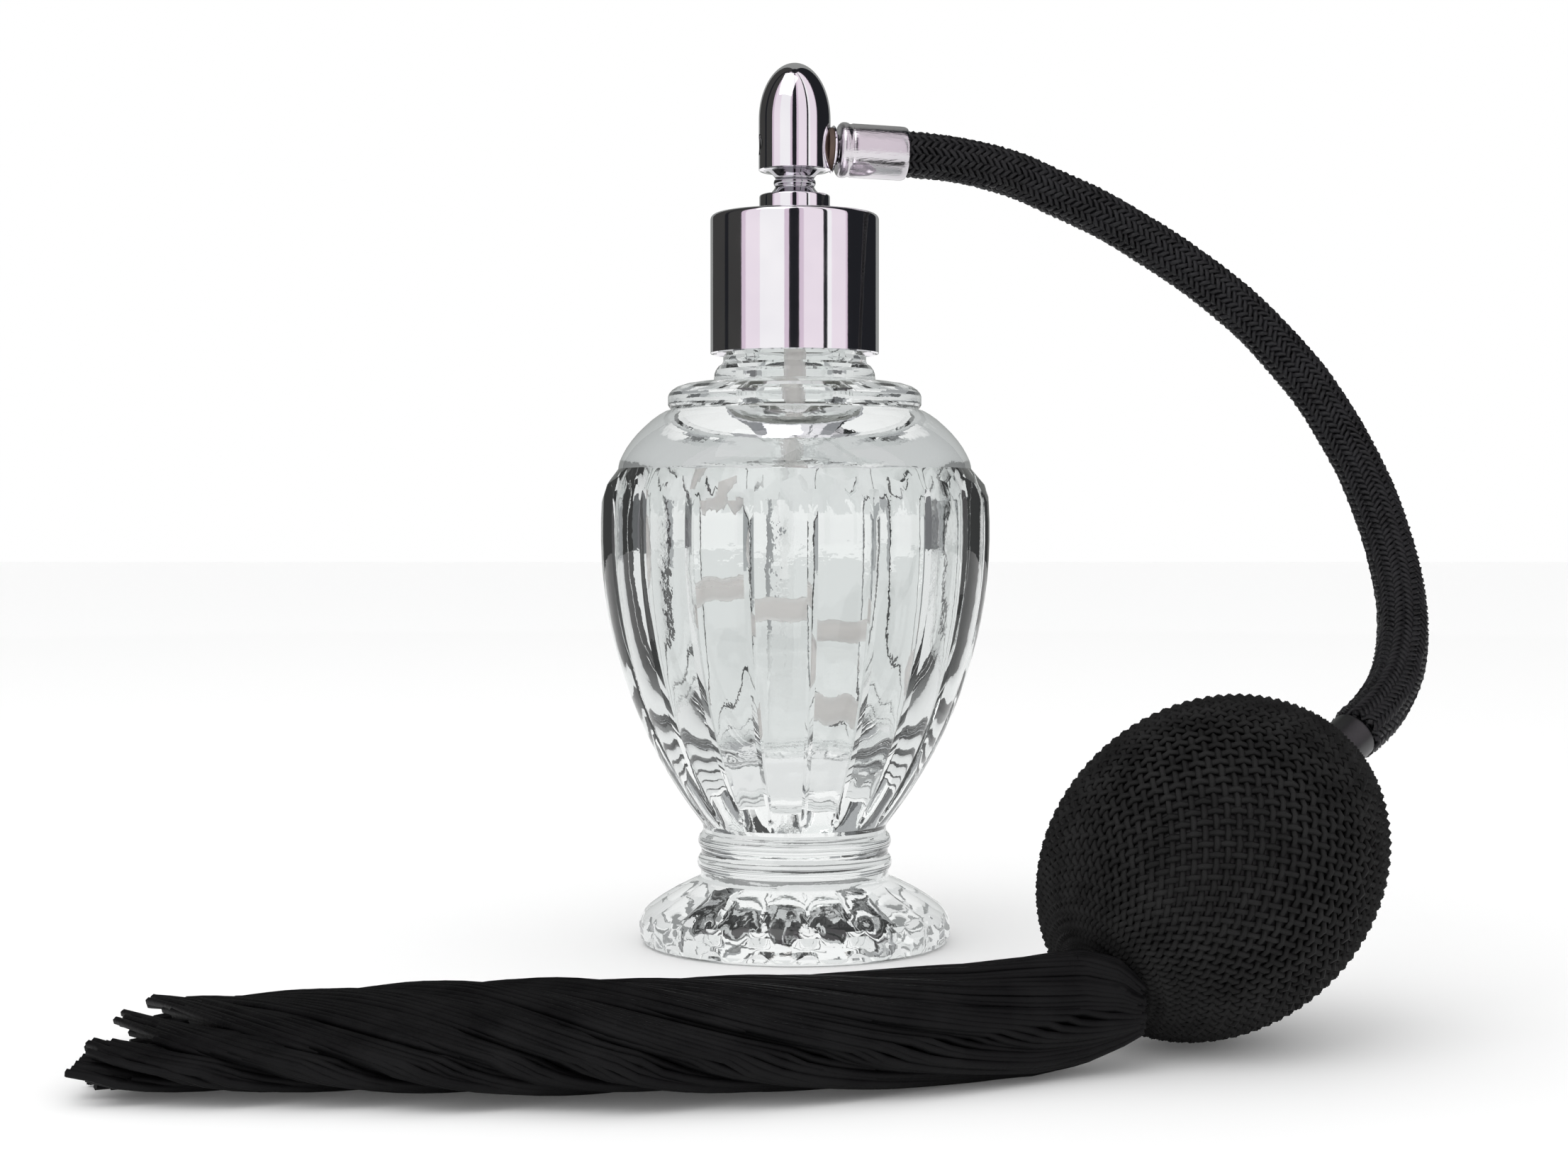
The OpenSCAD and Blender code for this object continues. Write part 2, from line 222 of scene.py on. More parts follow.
# ---- camera, first of all ----

cameraSettings = {"place": (-1.33, -308.3, 52.4), "lens": 56.6, "down": 1.5}


def setCamera():
    data = bpy.data.cameras.new("camera")
    data.lens = cameraSettings["lens"]
    data.sensor_width = 36
    data.clip_start = 0.01
    camera = bpy.data.objects.new("camera", data)
    bpy.context.scene.collection.objects.link(camera)
    camera.location = Vector(cameraSettings["place"]) * mm
    camera.rotation_euler = (math.radians(90 - cameraSettings["down"]), 0, 0)
    bpy.context.scene.camera = camera


setCamera()
print("camera set")

# ---- hose: the braid is real crossing strands over the rubber hose ----

# how the bulb lies on the table, in degrees
bulbPose = {"turn": 38, "lean": 61}

bulbTurn = Matrix.Rotation(math.radians(bulbPose["turn"]), 4, "Z")
bulbTurn = bulbTurn @ Matrix.Rotation(math.radians(bulbPose["lean"]), 4, "Y")
bulbPlace = Matrix.Translation(boxMiddle("bulb_net")) @ bulbTurn

hoseSettings = {
    "route": [
        (6, 1, 99), (14, 2.5, 98.7), (21, 3.5, 98), (27.5, 4.5, 96.5), (33, 5, 94.2),
        (38.8, 5, 91.5), (44, 4.8, 88.4), (49, 4, 85), (53.4, 3, 81.5), (57.5, 1.4, 77.6),
        (61, -0.6, 73.3), (64, -3, 69), (66.5, -6, 64), (68.4, -9.2, 59.2), (69.6, -13.2, 54.2),
        (70.2, -17.6, 49.2), (70, -23, 44.2), (68.8, -29, 39.4), (66.5, -35, 35), (63, -41, 31.8),
    ],
    "end": 25.2,            # how far from the bulb's middle it ends, along the bulb's axis
    "exit": (14, 2.5, 98.7),
    "diameter": 5.9,
    "lining": 2.15,         # radius of the rubber under the braid
    "carriers": 16,         # strands each way
    "strand": 0.34,         # radius of one strand
    "sink": 0.06,           # how far crossing strands press into each other
    "step": 0.36,
}


def makeHose():
    s = hoseSettings
    bulbEnd = (bulbPlace @ Vector((0, 0, s["end"] * mm))) / mm
    route = smoothRoute(s["route"] + [tuple(bulbEnd)], 8)
    frames = evenRoute(route, s["step"] * mm)
    middle = s["diameter"] / 2 - 2 * s["strand"] + 0.1
    rise = s["strand"] - s["sink"]
    turnStep = s["step"] / middle
    strands = []
    for hand in (1, -1):
        for j in range(s["carriers"]):
            points = []
            for k, (here, side, up) in enumerate(frames):
                w = k * turnStep
                lift = hand * math.cos(s["carriers"] / 2 * w + hand * math.pi * j + hand * math.pi / 4)
                a = 2 * math.pi * j / s["carriers"] + hand * w
                r = (middle + rise * lift) * mm
                points.append(here + r * (math.cos(a) * side + math.sin(a) * up))
            strands.append(points)
    braid = roundStrands("hoseBraid", strands, s["strand"] * mm)
    core = [f[0] for f in frames[::6]] + [frames[-1][0]]
    lining = roundStrands("hoseLining", [core], s["lining"] * mm, 3)
    makeActive(braid)
    lining.select_set(True)
    bpy.ops.object.join()
    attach(braid, "head")
    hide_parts("hose_rubber", "hose_braid")
    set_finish(braid, "black_braid")
    print("hose length", round(routeLength(route), 4))
    return braid


hoseBraid = makeHose()
print("hose made")

# ---- glass bottle ----

glassSettings = {
    "ribs": 20,
    "perRib": 12,           # points round one rib, an even number
    "valleyTurn": -85.2,    # where the first groove is, in degrees
    "ribDepth": 0.85,
    "mitreDrop": 1.45,      # how far the mitred rib tops come down at the nose
    "petalDepth": 0.4,      # flutes on the foot
    "thumbDepth": 0.6,      # pressed dimples round the rim of the foot
    "footRadius": 19.5,
    "wall": 3.4,
    "sideArc": 58.5,
    "bellyHeight": 51.3,
}

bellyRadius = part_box("bottle")[1].x / mm


def sideRadius(z, inset=0):
    s = glassSettings
    across = (s["sideArc"] - inset) ** 2 - (z - s["bellyHeight"]) ** 2
    return bellyRadius - s["sideArc"] + math.sqrt(across)


def glassOutline():
    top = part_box("bottle")[1].z / mm
    s = glassSettings
    foot = [
        (0, 1.6), (4, 1.55), (8, 1.3), (11, 0.8), (13.2, 0.1), (14, 0), (17, 0), (18.5, 0.05),
        (19.1, 0.35), (19.4, 0.9), (19.5, 1.4), (19.5, 1.9), (19.5, 2.4), (19.4, 2.9), (19.2, 3.4),
        (18.8, 4), (18.2, 4.6), (17.5, 5.1), (16.7, 5.65), (15.8, 6.2), (14.8, 6.75), (13.8, 7.25),
        (12.9, 7.7), (12.2, 8), (11.8, 8.35),
    ]
    beads = arc((10.9, 10.1), 1.3, -52, 52, 8) + arc((10.8, 12.75), 1.3, -48, 48, 8)
    waist = [(11.5, 14), (11.45, 14.4), (11.6, 14.9)]
    ribHeights = [15.5, 16, 16.75, 17.5] + [19 + 2.4 * i for i in range(16)]
    ribbed = [(sideRadius(z), z) for z in ribHeights]
    mitre = [(24.15, 55.55), (23.65, 57.15), (22, 59.1), (21.95, 59.5)]
    dome = [
        (21.8, 60.1), (21.4, 60.95), (20.95, 61.75), (20.35, 62.6), (19.6, 63.5), (18.75, 64.35),
        (17.8, 65.2), (16.9, 65.85), (16.1, 66.3), (15.5, 66.45),
    ]
    flange = [
        (15.45, 66.6), (15.65, 66.8), (15.8, 67.1), (15.8, 67.6), (15.8, 68.1), (15.65, 68.5),
        (15.3, 68.9), (14.7, 69.3), (13.6, 69.65), (12.3, 69.85), (10.6, 69.95), (10.1, 70.1),
        (10.05, 70.5), (10, 71), (9.85, 71.4), (9.5, 71.9), (9.05, 72.2), (8.9, 72.6), (8.9, 73.1),
        (8.5, 73.6), (7.8, 73.9),
    ]
    neck = [(7.8, 75 + 2 * i) for i in range(6)] + arc((7.3, top - 0.5), 0.5, 0, 90, 3)
    mouth = [(5.4, top), (5.05, top - 0.15), (4.9, top - 0.5)] + [(4.9, 85 - 3 * i) for i in range(7)]
    shoulder = [
        (5.4, 66.1), (6.6, 65.5), (8.3, 64.9), (10, 64.3), (11.9, 63.6), (13.8, 62.7), (16, 61.3),
        (17.6, 59.9),
    ]
    inside = [(sideRadius(z, s["wall"]), z) for z in [58.4 - 2.5 * i for i in range(9)]]
    floor = [
        (18.4, 35.5), (17.2, 33), (15.7, 30.5), (13.9, 28), (11.7, 25.7), (9.2, 23.6), (6.6, 21.8),
        (4.2, 20.5), (2, 19.7), (0, 19.4),
    ]
    return foot + beads + waist + ribbed + mitre + dome + flange + neck + mouth + shoulder + inside + floor


def fromValley(co):
    # 0 in a groove, 1 on the nose of a rib
    s = glassSettings
    turn = math.degrees(math.atan2(co.y, co.x)) - s["valleyTurn"]
    part = (turn * s["ribs"] / 360) % 1
    return 1 - abs(2 * part - 1)


def makeBottle():
    s = glassSettings
    outline = glassOutline()
    bottle = lathe("glassBottle", outline, steps=s["ribs"] * s["perRib"])
    makeActive(bottle)
    bottle.rotation_euler.z = math.radians(s["valleyTurn"])
    settle(bottle)
    half = s["perRib"] // 2
    centre = (0, 0, 0)

    def outside(co, low, high, k):
        # the outer skin between two heights, k steps from a groove
        z = co.z / mm
        if not low < z < high or abs(fromValley(co) * half - k) > 0.3:
            return False
        return math.hypot(co.x, co.y) / mm > (sideRadius(z, 1.7) if z > 15 else 11)

    for k in range(half):
        t = k / half
        # the section of a rib: steep by the groove, nearly flat on the nose
        nose = (1 - (1 - t) ** 2.5) ** 0.6
        into = (1 - nose) * s["ribDepth"] / bellyRadius
        for low, high, share in ((15.2, 15.8, 0.3), (15.8, 16.3, 0.6), (16.3, 17, 0.85), (17, 55.3, 1)):
            pick(bottle, lambda co: outside(co, low, high, k))
            fit = 1 - into * share
            bpy.ops.transform.resize(value=(fit, fit, 1), center_override=centre)
        # the two rows of the mitred tops rise towards the grooves
        for low, high, cut, rise in ((55.4, 55.7, 0.031, 0.85), (56.9, 57.4, 0.057, s["mitreDrop"])):
            pick(bottle, lambda co: outside(co, low, high, k))
            fit = 1 - (1 - t) * cut
            bpy.ops.transform.resize(value=(fit, fit, 1), center_override=centre)
            bpy.ops.transform.translate(value=(0, 0, rise * (1 - t) * mm))
        # petals on top of the foot
        for low, high, share in ((4.3, 5, 0.5), (5, 7, 1), (7, 7.6, 0.6)):
            pick(bottle, lambda co: outside(co, low, high, k))
            bpy.ops.transform.translate(value=(0, 0, -s["petalDepth"] * share * (1 - nose) * mm))
        # dimples round its rim, between the petals
        thumb = max(0, math.cos(math.pi * t * 0.75)) ** 1.5
        for low, high, share in ((0.8, 1.1, 0.45), (1.1, 2.7, 1), (2.7, 3.1, 0.7), (3.1, 3.6, 0.35)):
            pick(bottle, lambda co: outside(co, low, high, k))
            fit = 1 - s["thumbDepth"] / s["footRadius"] * share * thumb
            bpy.ops.transform.resize(value=(fit, fit, 1), center_override=centre)
    bpy.ops.object.mode_set(mode="OBJECT")
    return finishPiece(bottle, "glass", "bottle", "clear_glass", 14)


glassBottle = makeBottle()
print("bottle made")

# ---- dip tube ----

dipSettings = {
    "route": [
        (0, 0, 82.5), (0, 0, 77), (0, 0, 70), (-0.6, 0, 65), (-3, 0.3, 61), (-7.5, 0.8, 57.5),
        (-11.8, 1.3, 53.5), (-14, 1.7, 49.5), (-12.5, 1.9, 45.8), (-8.2, 1.9, 43.5), (-3, 1.7, 42),
        (3, 1.2, 40), (8, 0.6, 37.8), (10.6, 0, 34.9), (9.6, -0.6, 31.5), (6.6, -1, 28.7),
        (3.8, -0.8, 25.8), (2, -0.4, 22.8),
    ],
    "radius": 1.4,
    "bore": 0.9,
}


def makeDipTube():
    # a tube along the route: its flat ends are taken off, and the skin gets its wall inwards
    s = dipSettings
    frames = evenRoute(smoothRoute(s["route"], 8), 1.2 * mm)
    tube = roundStrands("dipTube", [[f[0] for f in frames]], s["radius"] * mm, 4)
    pick(tube, lambda co: False)
    bpy.ops.object.mode_set(mode="OBJECT")
    for face in tube.data.polygons:
        face.select = len(face.vertices) > 4
    bpy.ops.object.mode_set(mode="EDIT")
    bpy.ops.mesh.select_mode(type="FACE")
    bpy.ops.mesh.delete(type="FACE")
    bpy.ops.object.mode_set(mode="OBJECT")
    addModifier(tube, "SOLIDIFY", thickness=(s["radius"] - s["bore"]) * mm, offset=-1)
    return finishPiece(tube, "insert", "dip_tube", "milky_tube")


dipTube = makeDipTube()
print("dip tube made")

# ---- bright metal: collar, disc, stem, head, side fitting ----

# the axis of the nozzle and the side fitting: its height, and where it points in degrees
sprayAxis = {"height": 99.2, "turn": 10, "lean": 92}
sprayTurn = Matrix.Rotation(math.radians(sprayAxis["turn"]), 4, "Z")
sprayTurn = sprayTurn @ Matrix.Rotation(math.radians(sprayAxis["lean"]), 4, "Y")
sprayPlace = Matrix.Translation((0, 0, sprayAxis["height"] * mm)) @ sprayTurn

collarSettings = {"wall": 0.5, "edge": 0.65, "hole": 3.9}


def makeCollar():
    low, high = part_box("collar_shell")
    r, bottom, top = high.x / mm, low.z / mm, high.z / mm
    wall, edge, hole = collarSettings["wall"], collarSettings["edge"], collarSettings["hole"]
    outline = [(r - wall, bottom + 0.15), (r - 0.4, bottom + 0.02), (r - 0.15, bottom), (r, bottom + 0.15)]
    outline += [(r, bottom + 0.6), (r, bottom + 5), (r, top - 5), (r, top - 0.8)]
    outline += arc((r - edge, top - edge), edge, 8, 82, 7)
    outline += [(r - 0.8, top), (7, top), (hole + 0.2, top), (hole, top - 0.1), (hole, top - wall)]
    outline += [(r - 0.7, top - wall), (r - wall, top - 0.8), (r - wall, bottom + 0.15)]
    return finishPiece(lathe("collarShell", outline, 144), "collar", "collar_shell", "bright_chrome")


stemBore = 1.85


def makeDisc():
    low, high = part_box("stem_disc")
    r, bottom, top = high.x / mm, low.z / mm, high.z / mm
    outline = [(stemBore, bottom), (r - 0.2, bottom)] + arc((r - 0.2, bottom + 0.2), 0.2, -80, 0, 3)
    outline += [(r, top - 0.3)] + arc((r - 0.25, top - 0.25), 0.25, 0, 85, 4)
    outline += [(2.5, top), (stemBore, top), (stemBore, bottom)]
    return finishPiece(lathe("stemDisc", outline), "head", "stem_disc", "bright_chrome")


def makeStem():
    outline = [
        (stemBore, 93.2), (3.35, 93.2), (3.2, 93.3), (2.95, 93.5), (2.7, 93.75), (2.52, 94), (2.42, 94.2),
        (2.45, 94.32), (2.56, 94.45), (2.62, 94.65), (2.62, 94.8), (2.56, 95), (2.44, 95.12),
        (2.4, 95.25), (2.48, 95.42), (2.66, 95.65), (2.88, 95.88), (3.1, 96.05), (3.25, 96.2),
        (3.85, 96.2), (3.85, 97.1), (stemBore, 97.1), (stemBore, 93.2),
    ]
    return finishPiece(lathe("waistStem", outline), "head", "waist_stem", "bright_chrome", 50)


headSettings = {
    "spring": 102.6,        # height at which the sides turn into the bullet
    "wall": 0.6,
    "core": 3.87,           # radius of the space for the core
    # the two holes on the spray axis: radius, start and end
    "holes": {"sideHole": (1.95, 2, 6), "sprayHole": (1.3, -6, -2)},
}


def makeHead():
    low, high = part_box("head_shell")
    r, bottom, top = high.x / mm, low.z / mm, high.z / mm
    s = headSettings
    spring, core = s["spring"], s["core"]

    def bullet(inset):
        points = []
        for i in range(25):
            a = math.radians(90 * i / 24)
            points.append(((r - inset) * math.cos(a), spring + (top - spring - inset) * math.sin(a)))
        return points

    outline = [(core, bottom), (r - 0.15, bottom), (r, bottom + 0.12), (r, 98), (r, 100.5)] + bullet(0)
    outline += list(reversed(bullet(s["wall"]))) + [(core, 99), (core, bottom)]
    head = lathe("headShell", outline, 120)
    for name, (radius, start, end) in s["holes"].items():
        deselectAll()
        bpy.ops.mesh.primitive_cylinder_add(vertices=48, radius=radius * mm, depth=(end - start) * mm)
        cutter = bpy.context.active_object
        cutter.name = name
        settle(cutter, sprayPlace @ Matrix.Translation((0, 0, (start + end) / 2 * mm)))
        addModifier(head, "BOOLEAN", object=cutter, operation="DIFFERENCE", solver="EXACT")
        bpy.data.objects.remove(cutter)
    return finishPiece(head, "head", "head_shell", "bright_chrome")


def makeNozzle():
    outline = [
        (0.3, -3), (0.3, -4.05), (0.42, -4.2), (0.62, -4.3), (1, -4.3), (1.15, -4.2), (1.15, -3),
        (0.3, -3),
    ]
    return finishPiece(lathe("sprayNozzle", outline, 48, sprayPlace), "head", "nozzle_insert", "grey_metal")


def makeSpigot():
    outline = [
        (0.7, 2.2), (1.5, 2.2), (1.5, 4.6), (2.6, 4.6), (2.85, 4.65), (2.95, 4.78), (2.85, 4.9),
        (2.4, 4.98), (2.05, 5.08), (1.75, 5.25), (1.65, 5.4), (1.75, 5.6), (1.8, 5.8), (1.15, 5.8),
        (1.15, 12.2), (0.95, 12.6), (0.7, 12.6), (0.7, 2.2),
    ]
    return finishPiece(lathe("sideFitting", outline, 96, sprayPlace), "head", "spigot", "bright_chrome")


ferruleSettings = {"crimpTurn": -38, "crimpWide": 17, "crimpAt": 8, "crimpLong": 1.3, "crimpFit": 0.93}


def makeFerrule():
    # a rolled end at the fitting, a rolled ring, a crimp pressed into the underside
    s = ferruleSettings
    outline = [(1.85, 5.4)] + arc((2.75, 6.1), 0.7, 270, 350, 8)
    outline = [(x if i == 0 else min(x, 3.45), z) for i, (x, z) in enumerate(outline)]
    outline += [(3.44, 6.3), (3.38, 6.55), (3.28, 6.7), (3.24, 6.9), (3.28, 7.05), (3.35, 7.2)]
    outline += [(3.35, 7.2 + 0.5 * i) for i in range(1, 13)]
    outline += [(3.33, 13.7), (3.28, 13.9), (3.2, 14.05), (3.1, 14.1), (3.05, 14), (3.05, 13.5)]
    outline += [(3.05, 6), (2.6, 5.7), (1.85, 5.7), (1.85, 5.4)]
    ferrule = lathe("hoseFerrule", outline, 96)

    def inCrimp(co):
        z, turn = co.z / mm, math.degrees(math.atan2(co.y, co.x))
        away = ((z - s["crimpAt"]) / s["crimpLong"]) ** 2 + ((turn - s["crimpTurn"]) / s["crimpWide"]) ** 2
        return away < 1 and math.hypot(co.x, co.y) / mm > 3.15

    pick(ferrule, inCrimp)
    bpy.ops.transform.resize(value=(s["crimpFit"], s["crimpFit"], 1), center_override=(0, 0, 0))
    bpy.ops.object.mode_set(mode="OBJECT")
    settle(ferrule, sprayPlace)
    return finishPiece(ferrule, "head", "hose_ferrule", "bright_chrome", 50)


collarShell = makeCollar()
stemDisc = makeDisc()
waistStem = makeStem()
headShell = makeHead()
sideFitting = makeSpigot()
hoseFerrule = makeFerrule()
sprayNozzle = makeNozzle()
print("metal made")

# ---- bulb: rubber under a knitted net ----

bulbSettings = {
    "half": 20.3,
    "radius": 16.4,
    "strandsEachWay": 62,
    "yarn": 0.335,
    "stitch": 0.8,          # from one crossing to the next, along the bulb
    "underNet": 0.9,        # from the net's outside to the rubber
    "rubberWall": 1.4,
    "neck": 2.65,           # radius of the openings at both ends of the rubber
    "keep": 0.55,           # thickness that is left when it is squeezed
}


def eggRadius(z, half, radius):
    return radius * math.sqrt(max(0, 1 - (z / half) ** 2))


def makeRubber():
    s = bulbSettings
    half, radius, t = s["half"] - s["underNet"], s["radius"] - s["underNet"], s["rubberWall"]

    def wall(h, r, lower, upper):
        zs = [h * math.cos(math.radians(180 - 4.5 * i)) for i in range(41)]
        return [(max(s["neck"], eggRadius(z, h, r)), z) for z in zs if lower < z < upper]

    outer = wall(half, radius, -half + 0.15, half - 0.15)
    inner = list(reversed(wall(half - t, radius - t, -half + t + 0.15, half - t - 0.15)))
    rubber = lathe("rubberBulb", outer + inner + [outer[0]], 96, bulbPlace)
    return finishPiece(rubber, "head", "bulb_rubber", "black_rubber", 50)


def bulbMeridian(half, radius, step):
    # heights one step apart along the bulb's outline, from tail to hose
    zs, z = [], -half * 0.992
    while z < half * 0.992:
        zs.append(z)
        r = max(0.5, eggRadius(z, half, radius))
        slope = radius * radius * z / (half * half * r)
        z += step / math.sqrt(1 + slope * slope)
    return zs


def makeNet():
    # yarns that wind up the bulb both ways, over and under each other at every crossing
    s = bulbSettings
    yarn = s["yarn"]
    half, radius = s["half"] - 2 * yarn + 0.05, s["radius"] - 2 * yarn + 0.05
    zs = bulbMeridian(half, radius, s["stitch"])
    n = s["strandsEachWay"]
    strands = []
    for hand in (1, -1):
        for j in range(n):
            points = []
            for k, z in enumerate(zs):
                lift = hand * (1 if (k + 2 * j) % 2 == 0 else -1) * (yarn - 0.06)
                r = eggRadius(z, half, radius)
                normal = Vector((r / radius ** 2, 0, z / half ** 2)).normalized()
                a = 2 * math.pi * j / n + hand * math.pi * k / n
                rr, zz = max(2.3, r + normal.x * lift), z + normal.z * lift
                points.append(bulbPlace @ (Vector((rr * math.cos(a), rr * math.sin(a), zz)) * mm))
            strands.append(points)
    net = roundStrands("bulbNet", strands, yarn * mm)
    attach(net, "head")
    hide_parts("bulb_net")
    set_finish(net, "black_net")
    return net


def makeBulbFerrule():
    outline = [(2.2, 20), (2.6, 20), (2.6, 22), (2.6, 24.8)] + arc((2.45, 24.95), 0.15, 0, 90, 3)
    outline += [(2.2, 25.1), (2.2, 20)]
    sleeve = lathe("bulbSleeve", outline, 64, bulbPlace)
    return finishPiece(sleeve, "head", "bulb_ferrule", "grey_metal")


rubberBulb = makeRubber()
bulbNet = makeNet()
bulbSleeve = makeBulbFerrule()
# the rubber and the net each get a mesh of their own
for piece in (rubberBulb, bulbNet):
    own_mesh(piece)
print("bulb made")

# ---- tassel ----

tasselSettings = {
    "seed": 7,
    "ropes": 9,
    "perRope": 26,
    "radius": 0.42,
    "points": 52,           # steps along one strand
    "twist": -6.2,          # radians that the bundle turns from head to end
    "overlap": 0.8,         # how far both parts reach past the knot
    # x, y, half width, bottom and top of the bundle along its length
    "slices": [
        (33, -74, 1.3, 3.6, 8.6), (30.5, -74.2, 2.8, 2.2, 11), (27, -74.4, 4.2, 0.8, 11.9),
        (22, -75, 6.4, 0, 11.3), (16, -76, 8.2, 0, 10.4), (8, -76.6, 11, 0, 9.8), (-4, -77, 13.6, 0, 9.4),
        (-17, -78, 15, 0, 9.2), (-30, -77, 14.6, 0, 8.6), (-42, -75.5, 14.8, 0, 7.6),
        (-54, -74, 16, 0, 6.4), (-66, -71, 19, 0, 5),
    ],
}


def sliceAt(part):
    # values between the slices, by how far along x the part is
    slices = tasselSettings["slices"]
    x = slices[0][0] + (slices[-1][0] - slices[0][0]) * part
    for a, b in zip(slices, slices[1:]):
        if x >= b[0]:
            t = (x - a[0]) / (b[0] - a[0])
            return [p + (q - p) * t for p, q in zip(a, b)]
    return list(slices[-1])


def makeStrands():
    # ropes of strands, so that grooves run between them
    s = tasselSettings
    rnd = random.Random(s["seed"])
    strands = []
    for rope in range(s["ropes"]):
        ropeTurn = 2 * math.pi * (rope + rnd.uniform(-0.12, 0.12)) / s["ropes"]
        ropeEnd = rnd.uniform(0.93, 0.985)
        ropePhase = rnd.uniform(0, 6.28)
        bulge = rnd.uniform(0.95, 1.03)
        for n in range(s["perRope"]):
            t = 2 * (n + 0.5) / s["perRope"] - 1
            phase = rnd.uniform(0, 6.28)
            depth = 0.13 * (n % 3)
            start = rnd.uniform(0, 0.012)
            end = min(1, ropeEnd + rnd.uniform(-0.05, 0.035))
            points = []
            for k in range(s["points"] + 1):
                part = start + (end - start) * (k / s["points"]) ** 1.25
                x, y, wide, low, high = sliceAt(part)
                # the strands of one rope come together near its end
                gather = 1 - 0.55 * max(0, (part - 0.82) / 0.18)
                turn = ropeTurn + t * gather * math.pi / s["ropes"] + s["twist"] * part ** 1.3
                layer = (1 - 0.17 * t * t - depth) * bulge
                across = (wide - s["radius"]) * layer * math.cos(turn)
                middle, half = (low + high) / 2, (high - low) / 2 - s["radius"]
                rise = math.sin(turn)
                if rise < 0:
                    rise = -abs(rise) ** 0.6
                z = middle + half * layer * rise
                sway = 0.5 * math.sin(16 * part + phase) * part
                sway += 1.1 * math.sin(7 * part + ropePhase) * part
                z += 0.12 * math.sin(11 * part + phase)
                points.append(Vector((x, y + across + sway, max(z, s["radius"] + 0.05))) * mm)
            strands.append(points)
    # the gathered end stays with the bulb's tail, the rest swings
    split = boxMiddle("tassel_knot").x
    overlap = s["overlap"] * mm
    roots = [[q for q in line if q.x > split - overlap] for line in strands]
    rests = [[q for q in line if q.x < split + overlap] for line in strands]
    root = roundStrands("tasselRoot", roots, s["radius"] * mm, 1)
    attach(root, "tail")
    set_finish(root, "black_strands")
    tassel = roundStrands("tasselStrands", rests, s["radius"] * mm, 1)
    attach(tassel, "tassel")
    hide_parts("tassel_skirt")
    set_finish(tassel, "black_strands")
    return tassel, root


bindingSettings = {"turn": 182, "rounds": 9, "pitch": 0.45, "radius": 4, "taper": 1.1}


def makeBinding():
    # the bound head: wound thread over the gathered strands
    s = bindingSettings
    place = Matrix.Translation(boxMiddle("tassel_knot"))
    place = place @ Matrix.Rotation(math.radians(s["turn"]), 4, "Z")
    place = place @ Matrix.Rotation(math.radians(90), 4, "Y")
    outline = [(0, 3.2), (1.4, 3.2), (2.4, 3.5)]
    for i in range(s["rounds"]):
        z = 3.9 + s["pitch"] * i
        r = s["radius"] - s["taper"] * max(0, 1 - i / 3) ** 1.5
        outline += [(r - 0.08, z - 0.2), (r + 0.1, z - 0.1), (r + 0.14, z), (r + 0.1, z + 0.1)]
    outline += [(3.6, 8.2), (0, 8.2)]
    binding = lathe("tasselBinding", outline, 64, place)
    return finishPiece(binding, "tassel", "tassel_cap", "black_strands", 60)


tasselStrands, tasselRoot = makeStrands()
tasselBinding = makeBinding()
print("tassel made")

# ---- materials ----

def newMaterial(name):
    material = bpy.data.materials.new(name)
    material.use_nodes = True
    nodes, links = material.node_tree.nodes, material.node_tree.links
    return material, nodes, links, nodes["Principled BSDF"]


def glow(nodes, colour):
    light = nodes.new("ShaderNodeEmission")
    light.inputs["Color"].default_value = (*colour, 1)
    return light


def switchByPath(material, depth, limit, usual, other):
    # the other shader takes over for rays whose depth of that kind is past the limit
    nodes, links = material.node_tree.nodes, material.node_tree.links
    path = nodes.new("ShaderNodeLightPath")
    choice = nodes.new("ShaderNodeMath")
    choice.operation = "GREATER_THAN"
    choice.inputs[1].default_value = limit
    mix = nodes.new("ShaderNodeMixShader")
    links.new(path.outputs[depth], choice.inputs[0])
    links.new(choice.outputs["Value"], mix.inputs["Fac"])
    links.new(usual.outputs[0], mix.inputs[1])
    links.new(other.outputs[0], mix.inputs[2])
    links.new(mix.outputs["Shader"], nodes["Material Output"].inputs["Surface"])


